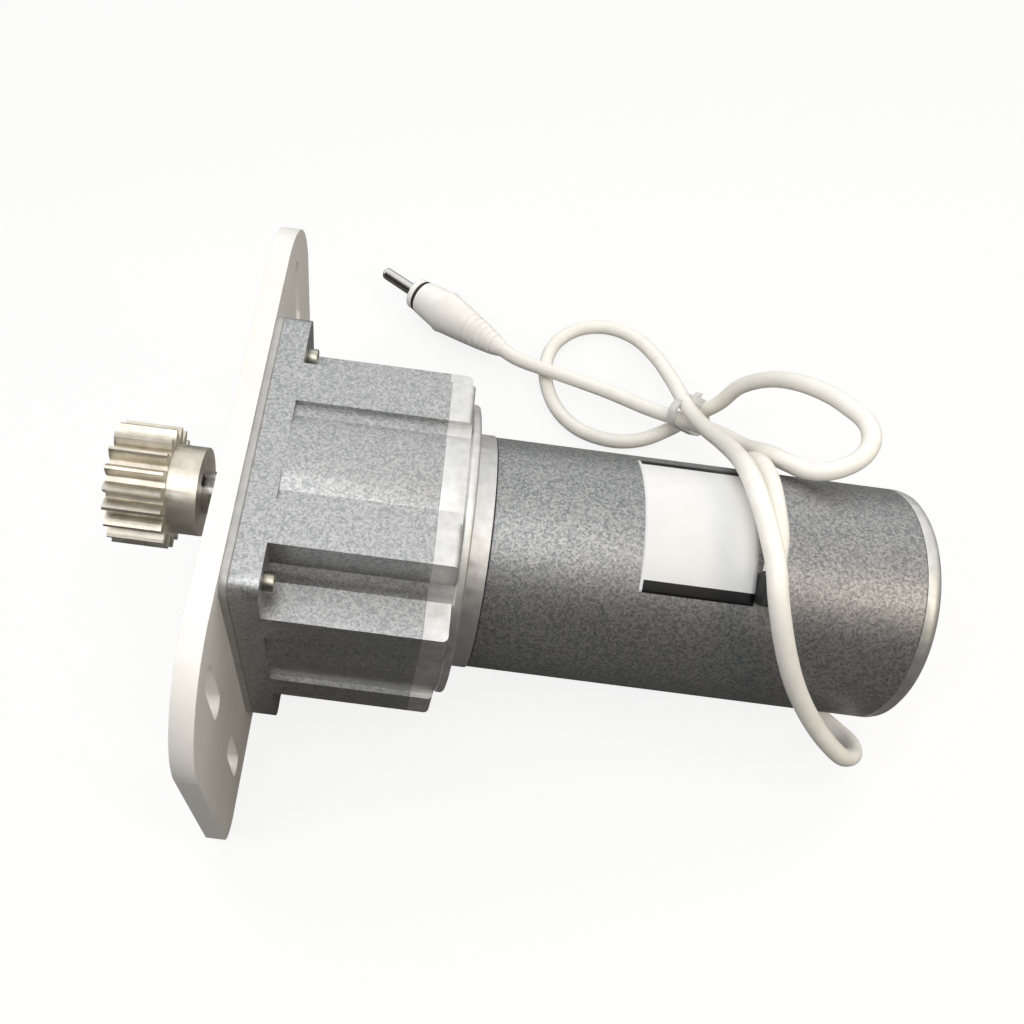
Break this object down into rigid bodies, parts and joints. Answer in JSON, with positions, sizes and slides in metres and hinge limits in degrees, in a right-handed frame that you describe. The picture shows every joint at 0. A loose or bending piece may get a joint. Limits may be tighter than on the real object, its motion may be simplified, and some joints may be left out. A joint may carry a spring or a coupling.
{
  "type": "electric motor",
  "caption": "Electric gearmotor on a slotted mounting plate: round motor, square gear case, steel drive pinion, looped power cord with a round plug.",
  "frame": {"origin": "on the output shaft's axis, at the outer face of the mounting plate", "axes": "+X along the shafts from the drive pinion to the rear of the motor, +Y along the plate, +Z across the plate towards its large corners"},
  "size_m": [0.2854, 0.295, 0.1381],
  "materials": {
    "plate_paint": "satin cream paint",
    "case_paint": "speckled grey paint",
    "bare_aluminium": "machined, satin",
    "pinion_steel": "machined, satin",
    "shaft_steel": "ground",
    "screw_steel": "dark, satin",
    "bearing_steel": "polished",
    "black_rubber": "matte",
    "gasket": "matte",
    "cord_sheath": "soft, matte",
    "plug_plastic": "satin",
    "tie_plastic": "clear, satin",
    "label_film": "matte",
    "bronze": "sintered",
    "copper": "enamelled and bare copper",
    "ferrite": "ground",
    "core_iron": "stacked sheets",
    "brown_moulding": "moulded",
    "carbon": "pressed carbon"
  },
  "bodies": {
    "frame": {"mounting_plate": "plate_paint", "plate_screws": "screw_steel", "case_cover": "bare_aluminium", "case_gasket": "gasket", "gear_case": "case_paint", "case_screws": "screw_steel", "motor_adapter": "bare_aluminium", "adapter_screws": "screw_steel", "front_motor_bearing": "bearing_steel", "motor_tube": "case_paint", "rating_label": "label_film", "field_magnets": "ferrite", "rear_bell": "bare_aluminium", "through_bolts": "screw_steel", "rear_motor_bearing": "bearing_steel", "brush_holder": "brown_moulding", "brushes": "carbon", "brush_springs": "shaft_steel", "output_bearing_front": "bearing_steel", "output_bearing_rear": "bearing_steel", "bearing_circlip": "screw_steel", "output_seal": "black_rubber", "first_shaft_bushes": "bronze", "second_shaft_bushes": "bronze", "cord_grommet": "black_rubber", "power_cord": "cord_sheath", "cable_tie": "tie_plastic", "plug_body": "plug_plastic", "plug_boot": "plug_plastic", "plug_collar": "plug_plastic", "plug_o_ring": "black_rubber", "plug_pin": "shaft_steel"},
    "rotor": {"armature_shaft": "shaft_steel", "armature_pinion": "shaft_steel", "armature_core": "core_iron", "armature_windings": "copper", "commutator": "copper"},
    "first_stage": {"first_gear": "shaft_steel", "first_shaft": "shaft_steel", "second_pinion": "shaft_steel"},
    "second_stage": {"second_gear": "shaft_steel", "second_shaft": "shaft_steel", "third_pinion": "shaft_steel"},
    "output": {"output_shaft": "shaft_steel", "output_gear": "shaft_steel", "gear_key": "screw_steel", "gear_circlip": "screw_steel", "drive_pinion": "pinion_steel", "pinion_key": "screw_steel", "pinion_set_screw": "screw_steel"}
  },
  "joints": [
    {"name": "rotor_spin", "type": "hinge", "parent": "frame", "child": "rotor", "pos_m": [0, -0.01, 0], "axis": [1, 0, 0], "continuous": true},
    {"name": "first_stage_spin", "type": "hinge", "parent": "frame", "child": "first_stage", "pos_m": [0, -0.01736, 0.02126], "axis": [1, 0, 0], "continuous": true},
    {"name": "second_stage_spin", "type": "hinge", "parent": "frame", "child": "second_stage", "pos_m": [0, -0.0285, 0], "axis": [1, 0, 0], "continuous": true},
    {"name": "output_spin", "type": "hinge", "parent": "frame", "child": "output", "pos_m": [0, 0, 0], "axis": [1, 0, 0], "continuous": true}
  ],
  "couplings": [
    {"joint": "first_stage_spin", "follows": "rotor_spin", "ratio": -0.25},
    {"joint": "second_stage_spin", "follows": "rotor_spin", "ratio": 0.0625},
    {"joint": "output_spin", "follows": "rotor_spin", "ratio": -0.016667}
  ]
}
